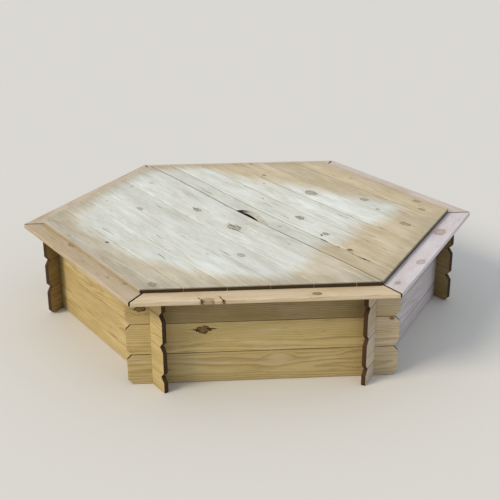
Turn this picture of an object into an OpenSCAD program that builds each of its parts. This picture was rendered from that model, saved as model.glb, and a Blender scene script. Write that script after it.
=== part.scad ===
// Hexagonal sandpit with a two-part lid. Six walls of grooved boards are laid like
// a log cabin, every second wall half a board higher, so the boards lock at the
// corners. A ring of mitred seat boards is screwed to the wall tops, and two lid
// halves lie on it and lift off. Millimetres, +Z up. The origin is the middle of
// the footprint at ground level, and the lid is split along X.

/* [Overall] */
// Seat ring, from corner to opposite corner
span = 1800; // [1500:10:2400]
// Whole boards in the height of a wall
courses = 3; // [2:1:4]

/* [Walls] */
// Height of a whole wall board without its tongue
course_h = 115; // [95:1:150]
// Thickness of the wall boards
wall_t = 16; // [14:1:28]
// From the seat's outer edge in to the wall's outer face
wall_inset = 106; // [90:1:130]
// How far each board runs past the corner
stub = 84; // [60:1:100]
// Corner cut off the board ends
end_chamfer = 19; // [5:1:25]
// Thickness of the tongue along the top of a board
tongue_w = 5; // [4:0.5:7]
// Height of the tongue
tongue_h = 6; // [4:0.5:10]
// Bevel along the long edges, which makes a V at each joint
v_bevel = 2; // [1:0.5:3]

/* [Seat] */
// Width of a seat board
seat_w = 145; // [125:1:180]
// Thickness of a seat board
seat_t = 16; // [14:1:28]
// Gap between two seat boards at a mitre
mitre_gap = 3; // [1:0.5:6]
// Bevel along the long edges of the seat
seat_bevel = 2; // [1:0.5:4]

/* [Lid] */
// From the seat's outer edge in to the lid's edge
lid_inset = 73; // [50:1:90]
// Thickness of a lid board
lid_t = 18; // [16:1:28]
// Boards in each half of the lid
lid_boards = 6; // [4:1:8]
// Width of the narrow board beside the split
split_board_w = 75; // [60:1:120]
// Gap between the two halves
split_gap = 4; // [2:0.5:8]
// Gap between two lid boards
board_gap = 1.5; // [1:0.5:4]
// Bevel along the long edges of a lid board
lid_bevel = 1; // [0.5:0.5:3]
// Where the lid lies on the seat, off its middle, along X
lid_off_x = -4; // [-6:1:6]
// The same along Y
lid_off_y = -8; // [-8:1:8]

/* [Finger cut] */
// Length of the cut along the split
finger_l = 175; // [100:5:200]
// Depth of the cut from the edge
finger_d = 38; // [25:1:45]
// Middle of the cut from the middle of the lid
finger_x = 22; // [-40:1:40]

/* [Battens and screws] */
// Width of a lid batten
batten_w = 60; // [40:1:80]
// Thickness of a lid batten
batten_t = 20; // [18:1:30]
// From the inner corner of the seat ring in to the end battens
end_batten_in = 190; // [150:5:230]
// Thickness of a screw's shank
screw_d = 4; // [3.5:0.5:5]
// Width of a screw's head
screw_head_d = 8; // [7:0.5:9]
// Length of a seat screw
seat_screw_l = 45; // [40:1:50]
// Wood that a lid screw bites into in the lid board
lid_screw_bite = 11; // [8:1:13]

/* [Hidden] */
// Play beside a board in its notch, round a tongue, round a batten and round a screw
notch_play = 0.5;
tongue_play = 0.5;
batten_play = 10;
screw_play = 0.1;
// Batten ends stay this far back from the split
batten_back = 20;
// Seat screws: the outer pair from the wall's corner, and the inner pair
seat_screw_end = 110;
seat_screw_mid = 95;
// A board narrower than this over a batten takes no screws
min_screw_land = 30;
screw_tip = 5;
screw_key_d = 3.4;
screw_key_deep = 1.8;
over = 1;
$fn = 48;

SIDES = "abcdef";
HALVES = ["rear", "front"];

// Square distance from the centre to a side is the corner distance times this
APOTHEM = sqrt(3) / 2;
seat_ap = span / 2 * APOTHEM;
seat_in_ap = seat_ap - seat_w;
seat_in_r = seat_in_ap / APOTHEM;
wall_ap = seat_ap - wall_inset;
wall_side = wall_ap / APOTHEM;
wall_l = wall_side + 2 * stub;
wall_h = courses * course_h;
notch_h = course_h / 4;
seat_top = wall_h + seat_t;
lid_ap = seat_ap - lid_inset;
lid_r = lid_ap / APOTHEM;
lid_split = split_gap / 2;
lid_pitch = (lid_ap - lid_split - split_board_w) / (lid_boards - 1);
lid_screw_l = batten_t + lid_screw_bite;
screw_head_h = (screw_head_d - screw_d) / 2;
seat_screw_x = wall_side / 2 - seat_screw_end;

// Battens: the long pair stands inside the straight part of the seat ring, and the
// end pair holds the long boards near the corners
lid_play = max(abs(lid_off_x), abs(lid_off_y)) + batten_play;
long_batten_x = seat_in_r / 2 - batten_w / 2 - batten_play / 2;
end_batten_x = seat_in_r - end_batten_in;
battens = [
    [-end_batten_x, end_batten_y()], [-long_batten_x, seat_in_ap - lid_play],
    [long_batten_x, seat_in_ap - lid_play], [end_batten_x, end_batten_y()]
];
function end_batten_y() =
    (seat_in_r - end_batten_x - batten_w / 2 - abs(lid_off_x)) * 2 * APOTHEM - lid_play;

// The boards of wall i, bottom and top of each in courses. Every second wall starts
// and ends with half a board.
function is_staggered(i) = i % 2 == 0;
function wall_boards(i) = is_staggered(i)
    ? concat([[0, 0.5]], [for (k = [1:courses - 1]) [k - 0.5, k + 0.5]],
             [[courses - 0.5, courses]])
    : [for (k = [1:courses]) [k - 1, k]];
function wall_name(i, b) = str("wall_", SIDES[i], "_board_", b + 1);
function seat_name(i) = str("seat_", SIDES[i]);
function lid_name(h, k) = str("lid_", HALVES[h], "_board_", k + 1);
function batten_name(h, n) = str("lid_", HALVES[h], "_batten_", n + 1);
function lid_screws_name(h) = str("lid_", HALVES[h], "_screws");

// Turns a piece drawn for the side that faces -Y to side i, where side a faces 30
// degrees from +X and the rest follow at 60 degrees
module side(i) rotate(120 + 60 * i) children();

// Sweeps an outline drawn in Y and Z along X, the same length each way
module along_x(l) translate([-l / 2, 0, 0]) rotate([90, 0, 90]) linear_extrude(l) children();

// Both ends of a piece that is the same left and right
module both_ends() for (m = [0, 1]) mirror([m, 0, 0]) children();

// Outline of a plain board with bevelled long edges
function plank(y0, y1, z0, z1, c) = [
    [y0 + c, z0], [y1 - c, z0], [y1, z0 + c], [y1, z1 - c],
    [y1 - c, z1], [y0 + c, z1], [y0, z1 - c], [y0, z0 + c]
];

// Outline of a wall board, its outer face at y = 0
module wall_section(z0, z1, grooved, tongued) {
    mid = wall_t / 2;
    groove_w = tongue_w + 2 * tongue_play;
    difference() {
        polygon(plank(0, wall_t, z0, z1, v_bevel));
        if (grooved)
            translate([mid - groove_w / 2, z0 - over])
                square([groove_w, tongue_h + tongue_play + over]);
    }
    if (tongued)
        translate([mid - tongue_w / 2, z1 - over]) square([tongue_w, tongue_h + over]);
}

// Room for the boards of the next wall, which cross this one at 60 degrees
module notch(z0, z1)
    translate([wall_side / 2, 0, z0]) rotate(60)
        translate([-2 * wall_t, -notch_play, 0])
            cube([4 * wall_t, wall_t + 2 * notch_play, z1 - z0]);

// Cuts the corner off a board end; up is 1 for the top corner and -1 for the bottom
module end_cut(z, up)
    translate([wall_l / 2 - end_chamfer, -over, z]) mirror([0, 0, up == 1 ? 0 : 1])
        rotate([0, 45, 0]) translate([-end_chamfer, 0, 0])
            cube([3 * end_chamfer, wall_t + 2 * over, 2 * end_chamfer]);

module wall_board(i, b) {
    lo = wall_boards(i)[b][0];
    hi = wall_boards(i)[b][1];
    z0 = lo * course_h;
    z1 = hi * course_h;
    whole = hi - lo == 1;
    tongued = hi < courses;
    // A half board is a whole one sawn along its middle, so its sawn edge is plain
    worked_low = whole || lo > 0;
    worked_high = whole || hi < courses;
    color(b % 2 == 0 ? "#B9A873" : "#C4B27D") side(i) difference() {
        translate([0, -wall_ap, 0]) difference() {
            along_x(wall_l) wall_section(z0, z1, lo > 0, tongued);
            both_ends() {
                if (worked_low) {
                    notch(z0 - over, z0 + notch_h);
                    end_cut(z0, -1);
                }
                if (worked_high) {
                    notch(z1 - notch_h, z1 + tongue_h + over);
                    end_cut(z1, 1);
                }
            }
        }
        if (!tongued) seat_screw_places() screw(seat_screw_l, screw_play);
    }
}

// A seat board, cut at both ends to the mitre through the centre
module seat_board(i)
    color("#CDBC9B") side(i) difference() {
        intersection() {
            along_x(span)
                polygon(plank(-seat_ap, -seat_in_ap, wall_h, seat_top, seat_bevel));
            linear_extrude(seat_top + over)
                polygon([[0, -mitre_gap], [span / 2 - mitre_gap * tan(30), -span / 2 / tan(30)],
                         [mitre_gap * tan(30) - span / 2, -span / 2 / tan(30)]]);
        }
        seat_screw_places() screw(seat_screw_l, screw_play);
    }

// The heads of a seat board's screws, in the middle of the wall board under it
module seat_screw_places()
    both_ends() for (x = [seat_screw_x, seat_screw_mid])
        translate([x, wall_t / 2 - wall_ap, seat_top]) children();

// A countersunk screw, head up with its top at z = 0; play makes it the hole for one
module screw(l, play = 0)
    rotate_extrude()
        polygon([[0, play], [screw_head_d / 2 + play, play], [screw_head_d / 2 + play, 0],
                 [screw_d / 2 + play, -screw_head_h], [screw_d / 2 + play, screw_tip - l],
                 [0, -l - play]]);

// The screw itself, with the recess for its key
module keyed_screw(l) difference() {
    screw(l);
    translate([0, 0, -screw_key_deep]) cylinder(d = screw_key_d, h = 2 * screw_key_deep, $fn = 6);
}

module seat_screws()
    color("silver") for (i = [0:5]) side(i) seat_screw_places() keyed_screw(seat_screw_l);

// Places a piece of the lid, drawn for the half on the +Y side of the split
module on_lid(h)
    translate([lid_off_x, lid_off_y, seat_top]) mirror([0, h, 0]) children();

// Joint k of a lid half, counted from the split
function lid_joint(k) = k == 0 ? lid_split : lid_split + split_board_w + (k - 1) * lid_pitch;
function lid_low(k) = lid_joint(k) + (k == 0 ? 0 : board_gap / 2);
function lid_high(k) = lid_joint(k + 1) - (k == lid_boards - 1 ? 0 : board_gap / 2);

module lid_board(h, k)
    color(k % 2 == 0 ? "#C2B79C" : "#CBC1A8") on_lid(h) difference() {
        intersection() {
            along_x(2 * lid_r) polygon(plank(lid_low(k), lid_high(k), 0, lid_t, lid_bevel));
            linear_extrude(lid_t)
                polygon([[-lid_r, 0], [lid_r, 0], [lid_r / 2, lid_ap], [-lid_r / 2, lid_ap]]);
        }
        if (h == 0 && k == 0) finger_cut();
        for (n = [0:len(battens) - 1]) lid_screw_places(n, k) screw(lid_screw_l, screw_play);
    }

// A shallow arc in the edge beside the split, deep enough for four fingers
module finger_cut() {
    r = (finger_l * finger_l / 4 + finger_d * finger_d) / (2 * finger_d);
    translate([finger_x, lid_split + finger_d - r, -over]) cylinder(r = r, h = lid_t + 2 * over, $fn = 96);
}

module lid_batten(h, n) {
    y0 = lid_split + batten_back;
    color("#B7A67A") on_lid(h) difference() {
        translate([battens[n][0] - batten_w / 2, y0, -batten_t])
            cube([batten_w, battens[n][1] - y0, batten_t]);
        for (k = [0:lid_boards - 1]) lid_screw_places(n, k) screw(lid_screw_l, screw_play);
    }
}

// Two screws, driven up through batten n, wherever board k has wood enough over it
module lid_screw_places(n, k) {
    low = max(lid_low(k), lid_split + batten_back);
    land = min(lid_high(k), battens[n][1]) - low;
    if (land >= min_screw_land)
        for (q = [0.25, 0.75])
            translate([battens[n][0] + (q - 0.5) * batten_w / 2, low + q * land, -batten_t])
                mirror([0, 0, 1]) children();
}

module lid_screws(h)
    color("silver") on_lid(h)
        for (n = [0:len(battens) - 1]) for (k = [0:lid_boards - 1])
            lid_screw_places(n, k) keyed_screw(lid_screw_l);

for (i = [0:5]) {
    for (b = [0:len(wall_boards(i)) - 1])
        wall_board(i, b);
    seat_board(i);
}
seat_screws();
for (h = [0, 1]) {
    for (k = [0:lid_boards - 1])
        lid_board(h, k);
    for (n = [0:len(battens) - 1])
        lid_batten(h, n);
    lid_screws(h);
}
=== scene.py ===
import math

import bmesh
import bpy
import numpy as np
from mathutils import Matrix, Vector, geometry


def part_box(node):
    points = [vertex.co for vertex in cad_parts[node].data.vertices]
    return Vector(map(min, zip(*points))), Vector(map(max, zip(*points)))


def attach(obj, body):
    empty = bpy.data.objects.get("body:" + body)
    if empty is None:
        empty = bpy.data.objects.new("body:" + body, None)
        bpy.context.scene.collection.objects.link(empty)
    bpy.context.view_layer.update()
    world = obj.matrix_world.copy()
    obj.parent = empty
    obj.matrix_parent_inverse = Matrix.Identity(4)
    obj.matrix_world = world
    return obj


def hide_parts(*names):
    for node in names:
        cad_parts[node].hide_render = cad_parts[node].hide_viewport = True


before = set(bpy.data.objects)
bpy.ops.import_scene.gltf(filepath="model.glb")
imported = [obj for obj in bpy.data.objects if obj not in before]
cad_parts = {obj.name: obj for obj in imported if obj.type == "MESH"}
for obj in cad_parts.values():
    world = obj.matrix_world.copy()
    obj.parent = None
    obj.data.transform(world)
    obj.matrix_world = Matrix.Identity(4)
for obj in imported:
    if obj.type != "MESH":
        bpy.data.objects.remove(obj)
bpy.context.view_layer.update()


# --- The wall boards -------------------------------------------------------------
# Planed pine, pressure-treated and so a little olive, with a tongue and a groove.
# The boards are halved into each other at the corners like a log cabin's, and
# their ends run on past the corner with the corners sawn off.
MM = 0.001
SIDES = "abcdef"
STAGGERED = "ace"
APOTHEM = math.sqrt(3) / 2

low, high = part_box("wall_e_board_1")
WALL_L = high.x - low.x
WALL_AP = -low.y
WALL_T = high.y - low.y
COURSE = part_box("wall_b_board_2")[0].z
TONGUE_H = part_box("wall_b_board_1")[1].z - COURSE
COURSES = round(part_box("wall_b_board_3")[1].z / COURSE)
TONGUE_W = 5 * MM
TONGUE_PLAY = 0.5 * MM
V_BEVEL = 2 * MM
END_CHAMFER = 19 * MM
NOTCH_H = COURSE / 4
NOTCH_PLAY = 0.5 * MM
# The worn edges: along the boards, and round their sawn ends
ARRIS = 0.6 * MM
SAWN_ARRIS = 0.4 * MM
# How finely the boards are divided, round their outline and along them
OUTLINE_STEP = 6 * MM
LENGTH_STEP = 9 * MM
# A crack is full width down to this depth and then closes to a point; it is drawn with
# this many points, and wanders by this share of its width at each
CRACK_LIP = 0.25 * MM
CRACK_POINTS = 15
CRACK_WANDER = 0.25
# A knot's width is this share of its length, and it bends the grain as far away as this
# many times its size
KNOT_OVAL = 0.62
KNOT_REACH = 7


def rounded(corners, radius, step):
    """A closed outline with its corners rounded and its straight stretches divided."""
    corners = [Vector(c) for c in corners]
    arcs = []
    for i, corner in enumerate(corners):
        back = corners[i - 1] - corner
        on = corners[(i + 1) % len(corners)] - corner
        if abs(back.normalized().cross(on.normalized())) < 0.01:
            arcs.append([corner])
            continue
        r = min(radius, 0.45 * back.length, 0.45 * on.length)
        start, end = corner + back.normalized() * r, corner + on.normalized() * r
        arcs.append([start.lerp(corner, t).lerp(corner.lerp(end, t), t) for t in (0, 1 / 3, 2 / 3, 1)])
    points = []
    for i, arc in enumerate(arcs):
        points += arc
        start, end = arc[-1], arcs[(i + 1) % len(arcs)][0]
        parts = max(1, round((end - start).length / step))
        points += [start.lerp(end, k / parts) for k in range(1, parts)]
    return np.array(points)


def lofted(outline, reach, step, arris, creases=()):
    """A board along X: the outline in Y and Z, and reach(y, z) giving where its two
    ends lie. The end edges are rounded, and each end folds along the creases."""
    count = len(outline)
    edge = np.roll(outline, -1, axis=0) - outline
    out = np.stack([edge[:, 1], -edge[:, 0]], axis=1)
    out /= np.linalg.norm(out, axis=1, keepdims=True)
    out = out + np.roll(out, 1, axis=0)
    out /= np.linalg.norm(out, axis=1, keepdims=True)
    x_low, x_high = reach(outline[:, 0], outline[:, 1])
    x_low, x_high = x_low + arris, x_high - arris
    turns = [math.radians(a) for a in (90, 60, 30)]
    ends = [(outline - out * arris * (1 - math.cos(a)), arris * (1 - math.sin(a))) for a in turns]
    rings = [np.column_stack([reach(*flat.T)[0] + back, flat]) for flat, back in ends]
    stations = max(2, round((x_high - x_low).max() / step))
    for k in range(stations + 1):
        rings.append(np.column_stack([x_low + (x_high - x_low) * k / stations, outline]))
    rings += [np.column_stack([reach(*flat.T)[1] - back, flat]) for flat, back in reversed(ends)]
    vertices = np.vstack(rings)
    last = len(rings) - 1
    border = [(i, (i + 1) % count) for i in range(count)]
    faces = [(r * count + i, r * count + j, (r + 1) * count + j, (r + 1) * count + i)
             for r in range(last) for i, j in border]
    for z in creases:
        on_line = [i for i in range(count) if abs(outline[i, 1] - z) < 1e-7]
        border.append((on_line[0], on_line[-1]))
    flat = [Vector(p) for p in ends[0][0]]
    cap = geometry.delaunay_2d_cdt(flat, border, [list(range(count))], 1, 1e-9)
    own = [kept[0] for kept in cap[3]]
    faces += [tuple(own[i] for i in reversed(face)) for face in cap[2]]
    faces += [tuple(last * count + own[i] for i in face) for face in cap[2]]
    return new_mesh(vertices, faces)


def new_mesh(vertices, faces):
    """A mesh whose faces all look outward."""
    mesh = bpy.data.meshes.new("timber")
    mesh.from_pydata([tuple(v) for v in vertices], [], faces)
    bm = bmesh.new()
    bm.from_mesh(mesh)
    bmesh.ops.recalc_face_normals(bm, faces=bm.faces)
    bm.to_mesh(mesh)
    bm.free()
    return mesh


def block(centre, size, turn=0.0):
    """A box to cut with, turned about Z."""
    bm = bmesh.new()
    place = Matrix.Translation(centre) @ Matrix.Rotation(turn, 4, "Z") @ Matrix.Diagonal((*size, 1))
    bmesh.ops.create_cube(bm, size=1, matrix=place)
    mesh = bpy.data.meshes.new("cutter")
    bm.to_mesh(mesh)
    bm.free()
    return mesh


def cut(mesh, cutters):
    """The mesh with the cutters taken out of it."""
    if not cutters:
        return mesh
    bm = bmesh.new()
    for cutter in cutters:
        bm.from_mesh(cutter)
    tool_mesh = bpy.data.meshes.new("cutters")
    bm.to_mesh(tool_mesh)
    bm.free()
    work, tool = (bpy.data.objects.new("work", m) for m in (mesh, tool_mesh))
    for o in (work, tool):
        bpy.context.scene.collection.objects.link(o)
    boolean = work.modifiers.new("cut", "BOOLEAN")
    boolean.operation = "DIFFERENCE"
    boolean.solver = "MANIFOLD"
    boolean.object = tool
    done = bpy.data.meshes.new_from_object(work.evaluated_get(bpy.context.evaluated_depsgraph_get()))
    for o in (work, tool):
        bpy.data.objects.remove(o)
    return done


def points_of(mesh):
    co = np.empty(len(mesh.vertices) * 3, np.float32)
    mesh.vertices.foreach_get("co", co)
    return co.reshape(-1, 3).astype(float)


def set_points(mesh, points):
    mesh.vertices.foreach_set("co", points.astype(np.float32).ravel())
    mesh.update()


def crack_path(start, end, width, seed):
    """How a crack wanders: its share of the way, how far aside it is there, and the
    direction of aside."""
    t = np.linspace(0, 1, CRACK_POINTS)
    wander = np.cumsum(np.random.default_rng(seed).normal(0, CRACK_WANDER, len(t))) * width
    along = (np.array(end) - start) / math.dist(start, end)
    return t, wander - wander[0] + (wander[0] - wander[-1]) * t, np.array([-along[1], along[0]])


def crack(start, end, depth, width, seed, face):
    """A drying crack to cut with: a thin wedge that wanders from start to end.
    face(x, a, deep) gives the point at that depth under the surface."""
    t, wander, aside = crack_path(start, end, width, seed)
    middle = start + np.outer(t, np.subtract(end, start)) + np.outer(wander, aside)
    open_w = width * np.maximum(0.12, np.sin(math.pi * t) ** 0.6) / 2
    deep = depth * np.maximum(0.3, np.sin(math.pi * t) ** 0.5)
    corners = 5
    rings = []
    for k in range(CRACK_POINTS):
        left, right = middle[k] - open_w[k] * aside, middle[k] + open_w[k] * aside
        rings += [face(*left, -MM), face(*right, -MM), face(*right, CRACK_LIP),
                  face(*middle[k], deep[k]), face(*left, CRACK_LIP)]
    last = (CRACK_POINTS - 1) * corners
    faces = [(k + i, k + (i + 1) % corners, k + corners + (i + 1) % corners, k + corners + i)
             for k in range(0, last, corners) for i in range(corners)]
    faces += [tuple(reversed(range(corners))), tuple(last + i for i in range(corners))]
    return new_mesh(rings, faces)


def in_cracks(x, a, deep, cracks, seed):
    """Which points lie in or just beside one of the cracks, each given as a start, an
    end and a width."""
    inside = np.zeros(len(x), bool)
    for k, (start, end, width) in enumerate(cracks):
        t, wander, aside = crack_path(start, end, width, seed + k)
        share = ((x - start[0]) * aside[1] - (a - start[1]) * aside[0]) / math.dist(start, end)
        away = (x - start[0]) * aside[0] + (a - start[1]) * aside[1] - np.interp(share, t, wander)
        inside |= (share > -0.02) & (share < 1.02) & (np.abs(away) < 0.6 * width + 0.2 * MM)
    return inside & (deep > 0.8 * CRACK_LIP)


def at_ends(points, reach):
    """1 for the points on the sawn ends, and 0 for the others."""
    low_x, high_x = reach(points[:, 1], points[:, 2])
    from_end = np.minimum(points[:, 0] - low_x, high_x - points[:, 0])
    return (from_end < 0.5 * SAWN_ARRIS).astype(float)


def set_grain(mesh, points, board, seed, ends, bleach=0.0, dirt_and_shade=0.0, knots=()):
    """Gives the mesh what its pine needs: where each point lies in the tree, the
    nearest knot, and how far it is end grain, bleached, or darkened by dirt and
    painted shade. points are along the grain, across the face and into the wood,
    board is the board's width, and a knot is its place along and across, half its
    size and how dark it is."""
    rng = np.random.default_rng(seed)
    # The tree's pith lies beside the board and leans a little, so the rings run out
    pith_across = rng.uniform(-0.5, 0.5) * board
    pith_deep = rng.choice([-1, 1]) * rng.uniform(0.3, 0.75) * board
    lean = np.array([0, rng.uniform(-0.012, 0.012), rng.uniform(-0.035, 0.035)])
    tree = points - np.array([0, pith_across, pith_deep]) - points[:, :1] * lean
    tree[:, 0] += rng.uniform(-5, 5)
    # Where there is no knot, it lies far off and is tiny
    knot = np.tile([9.0, 9.0, 0.1 * MM], (len(points), 1))
    dark = np.zeros(len(points))
    nearest = np.full(len(points), np.inf)
    for x, a, size, darkness in knots:
        away = np.hypot((points[:, 0] - x) * KNOT_OVAL, points[:, 1] - a) / size
        here = away < nearest
        nearest[here] = away[here]
        # The size fades out between knots, so that no seam shows where the nearest changes
        faded = size * np.clip((KNOT_REACH - away[here]) / 2.5, 0.01, 1)
        knot[here] = np.column_stack([points[here, 0] - x, points[here, 1] - a, faded])
        dark[here] = darkness
    state = np.column_stack([np.broadcast_to(v, len(points)) for v in (ends, bleach, dirt_and_shade)])
    tone = np.full(len(points), rng.uniform(0, 1))
    layers = {"grain": tree, "knot": knot, "state": state, "dark": dark, "tone": tone}
    for name, values in layers.items():
        kind, field = ("FLOAT_VECTOR", "vector") if values.ndim == 2 else ("FLOAT", "value")
        layer = mesh.attributes.new(name, kind, "POINT")
        layer.data.foreach_set(field, np.ascontiguousarray(values, np.float32).ravel())


# Faces that meet at more than this are shaded as a sharp edge
SHARP_ANGLE = math.radians(32)


def board_object(name, mesh, material, body, node):
    """Puts a finished mesh in the scene as the piece that stands for a CAD node."""
    for face in mesh.polygons:
        face.use_smooth = True
    mesh.set_sharp_from_angle(angle=SHARP_ANGLE)
    mesh.materials.clear()
    mesh.materials.append(material)
    piece = bpy.data.objects.new(name, mesh)
    bpy.context.scene.collection.objects.link(piece)
    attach(piece, body)
    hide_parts(node)


def colour(hex_code):
    """An sRGB hex colour as linear RGBA."""
    parts = [int(hex_code[i:i + 2], 16) / 255 for i in (1, 3, 5)]
    return (*[c / 12.92 if c <= 0.04045 else ((c + 0.055) / 1.055) ** 2.4 for c in parts], 1)


def add(tree, kind, inputs=None, out=0, **settings):
    """Adds a shader node with its settings; an input is a value or a socket to link."""
    made = tree.nodes.new("ShaderNode" + kind)
    for name, value in settings.items():
        setattr(made, name, value)
    for key, value in (inputs or {}).items():
        if isinstance(value, bpy.types.NodeSocket):
            tree.links.new(value, made.inputs[key])
        else:
            made.inputs[key].default_value = value
    return None if out is None else made.outputs[out]


def grain_scale(length, width):
    """The scale of a pattern whose parts are so long along the grain and so wide."""
    return 1 / length, 1 / width, 1 / width


def pine(name, early, late, ends, knot, bleached, ring, show, roughness, clouds=0.12):
    """Pine: growth rings cut at any angle, knots that the grain flows round, fine fibre,
    drying marks, dark end grain and sun-bleached patches. early and late are the colours
    of a ring's two bands, ring is its width, show is how strong the rings are, and clouds
    is how uneven the wood is."""
    material = bpy.data.materials.new(name)
    material.use_nodes = True
    tree = material.node_tree
    tree.nodes.clear()
    rgba = {"data_type": "RGBA"}
    soft = {"interpolation_type": "SMOOTHSTEP"}
    grain = add(tree, "Attribute", attribute_name="grain", out=1)
    near = add(tree, "Attribute", attribute_name="knot", out=1)
    near = add(tree, "SeparateXYZ", {0: near}).node.outputs
    state = add(tree, "Attribute", attribute_name="state", out=1)
    state = add(tree, "SeparateXYZ", {0: state}).node.outputs
    tone = add(tree, "Attribute", attribute_name="tone", out=2)
    dark = add(tree, "Attribute", attribute_name="dark", out=2)
    at = add(tree, "SeparateXYZ", {0: grain}).node.outputs

    # Distance from the nearest knot, 1 at its edge; a knot is a ragged oval along the grain,
    # and the bumps of its edge are about 14 mm long
    short_x = add(tree, "Math", {0: near[0], 1: KNOT_OVAL}, operation="MULTIPLY")
    flat = add(tree, "CombineXYZ", {0: short_x, 1: near[1]})
    beside = add(tree, "VectorMath", {0: flat, 1: grain})
    ragged = add(tree, "TexNoise", {"Vector": beside, "Scale": 1 / (14.286 * MM), "Detail": 3.0})
    away = add(tree, "VectorMath", {0: flat}, 1, operation="LENGTH")
    away = add(tree, "Math", {0: away, 1: near[2]}, operation="DIVIDE")
    away = add(tree, "Math", {0: ragged, 1: 1.5, 2: away}, operation="MULTIPLY_ADD")
    away = add(tree, "Math", {0: away, 1: 0.75}, operation="SUBTRACT")
    in_knot = add(tree, "MapRange", {0: away, 1: 1.1, 2: 0.8, 3: 0.0, 4: 1.0}, **soft)
    by_knot = add(tree, "MapRange", {0: away, 1: 4.2, 2: 0.9, 3: 0.0, 4: 1.0}, **soft)

    # Growth rings: the distance from the pith, bent up to 24 mm by slow waves and round
    # the knots; the dark late wood grows slowly and ends sharply
    slow = grain_scale(454.5 * MM, 71.43 * MM)
    slow = add(tree, "VectorMath", {0: grain, 1: slow}, operation="MULTIPLY")
    wave = add(tree, "TexNoise", {"Vector": slow, "Scale": 1.0, "Detail": 2.0, "Roughness": 0.45})
    aside = add(tree, "Math", {0: near[1], 1: by_knot}, operation="MULTIPLY")
    across = add(tree, "Math", {0: aside, 1: -0.8, 2: at[1]}, operation="MULTIPLY_ADD")
    radius = add(tree, "CombineXYZ", {1: across, 2: at[2]})
    radius = add(tree, "VectorMath", {0: radius}, 1, operation="LENGTH")
    radius = add(tree, "Math", {0: wave, 1: 24 * MM, 2: radius}, operation="MULTIPLY_ADD")
    phase = add(tree, "Math", {0: radius, 1: ring}, operation="DIVIDE")
    phase = add(tree, "Math", {0: phase}, operation="FRACT")
    rise = add(tree, "MapRange", {0: phase, 1: 0.25, 2: 0.86}, **soft)
    drop = add(tree, "MapRange", {0: phase, 1: 1.0, 2: 0.9}, **soft)
    latewood = add(tree, "Math", {0: rise, 1: drop}, operation="MULTIPLY")

    # Fibre, drawn over 2 mm wide because real fibre is too fine to show
    fine = grain_scale(111.1 * MM, 2.381 * MM)
    fine = add(tree, "VectorMath", {0: grain, 1: fine}, operation="MULTIPLY")
    fibre = add(tree, "TexNoise", {"Vector": fine, "Scale": 1.0, "Detail": 3.0, "Roughness": 0.65})
    # Resin blotches, and the clouds that the weather leaves
    broad = grain_scale(285.7 * MM, 38.46 * MM)
    broad = add(tree, "VectorMath", {0: grain, 1: broad}, operation="MULTIPLY")
    blotch = add(tree, "TexNoise", {"Vector": broad, "Scale": 1.0, "Detail": 5.0, "Roughness": 0.62})
    loose = grain_scale(250 * MM, 41.67 * MM)
    loose = add(tree, "VectorMath", {0: grain, 1: loose}, operation="MULTIPLY")
    cloud = add(tree, "TexNoise", {"Vector": loose, "Scale": 1.0, "Detail": 6.0, "Roughness": 0.7})

    strength = add(tree, "MapRange", {0: blotch, 1: 0.3, 2: 0.7, 3: show * 0.35, 4: show})
    amount = add(tree, "Math", {0: latewood, 1: strength}, operation="MULTIPLY")
    wood = add(tree, "Mix", {0: amount, 6: colour(early), 7: colour(late)}, 2, **rgba)
    stain = add(tree, "MapRange", {0: blotch, 1: 0.46, 2: 0.78, 3: 0.0, 4: 0.4})
    wood = add(tree, "Mix", {0: stain, 6: wood, 7: colour(late)}, 2, **rgba)

    # Sun-bleached and rain-washed wood hides the rings but keeps the fibre
    washed = add(tree, "Math", {0: cloud, 1: 0.9, 2: state[1]}, operation="MULTIPLY_ADD")
    washed = add(tree, "MapRange", {0: washed, 1: 0.45, 2: 1.45})
    faint = add(tree, "Math", {0: amount, 1: 0.4}, operation="MULTIPLY")
    pale = add(tree, "Mix", {0: faint, 6: colour(bleached), 7: colour(late)}, 2, **rgba)
    wood = add(tree, "Mix", {0: washed, 6: wood, 7: pale}, 2, **rgba)

    # Knots: their own rings, a dark rim of bark, and darker wood round them
    turns = add(tree, "Math", {0: away, 1: 3.4}, operation="MULTIPLY")
    turns = add(tree, "Math", {0: turns}, operation="FRACT")
    turns = add(tree, "MapRange", {0: turns, 3: 0.3, 4: 0.85})
    core = add(tree, "Mix", {0: turns, 6: colour(late), 7: colour(knot)}, 2, **rgba)
    halo = add(tree, "MapRange", {0: away, 1: 2.6, 2: 1.0, 3: 0.0, 4: 0.3}, **soft)
    halo = add(tree, "Math", {0: halo, 1: dark}, operation="MULTIPLY")
    wood = add(tree, "Mix", {0: halo, 6: wood, 7: colour(late)}, 2, **rgba)
    filled = add(tree, "Math", {0: in_knot, 1: dark}, operation="MULTIPLY")
    wood = add(tree, "Mix", {0: filled, 6: wood, 7: core}, 2, **rgba)
    rim = add(tree, "Math", {0: away, 1: 0.98, 2: 0.15}, operation="COMPARE")
    rim = add(tree, "Math", {0: rim, 1: dark}, operation="MULTIPLY")
    wood = add(tree, "Mix", {0: rim, 6: wood, 7: colour(knot)}, 2, **rgba)

    # Fine drying checks: short dark lines along the grain
    lines = grain_scale(71.43 * MM, 4.762 * MM)
    lines = add(tree, "VectorMath", {0: grain, 1: lines}, operation="MULTIPLY")
    checks = add(tree, "TexNoise", {"Vector": lines, "Scale": 1.0, "Detail": 1.0})
    checks = add(tree, "MapRange", {0: checks, 1: 0.70, 2: 0.76, 3: 0.0, 4: 0.4})
    wood = add(tree, "Mix", {0: checks, 6: wood, 7: colour(knot)}, 2, **rgba)
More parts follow.
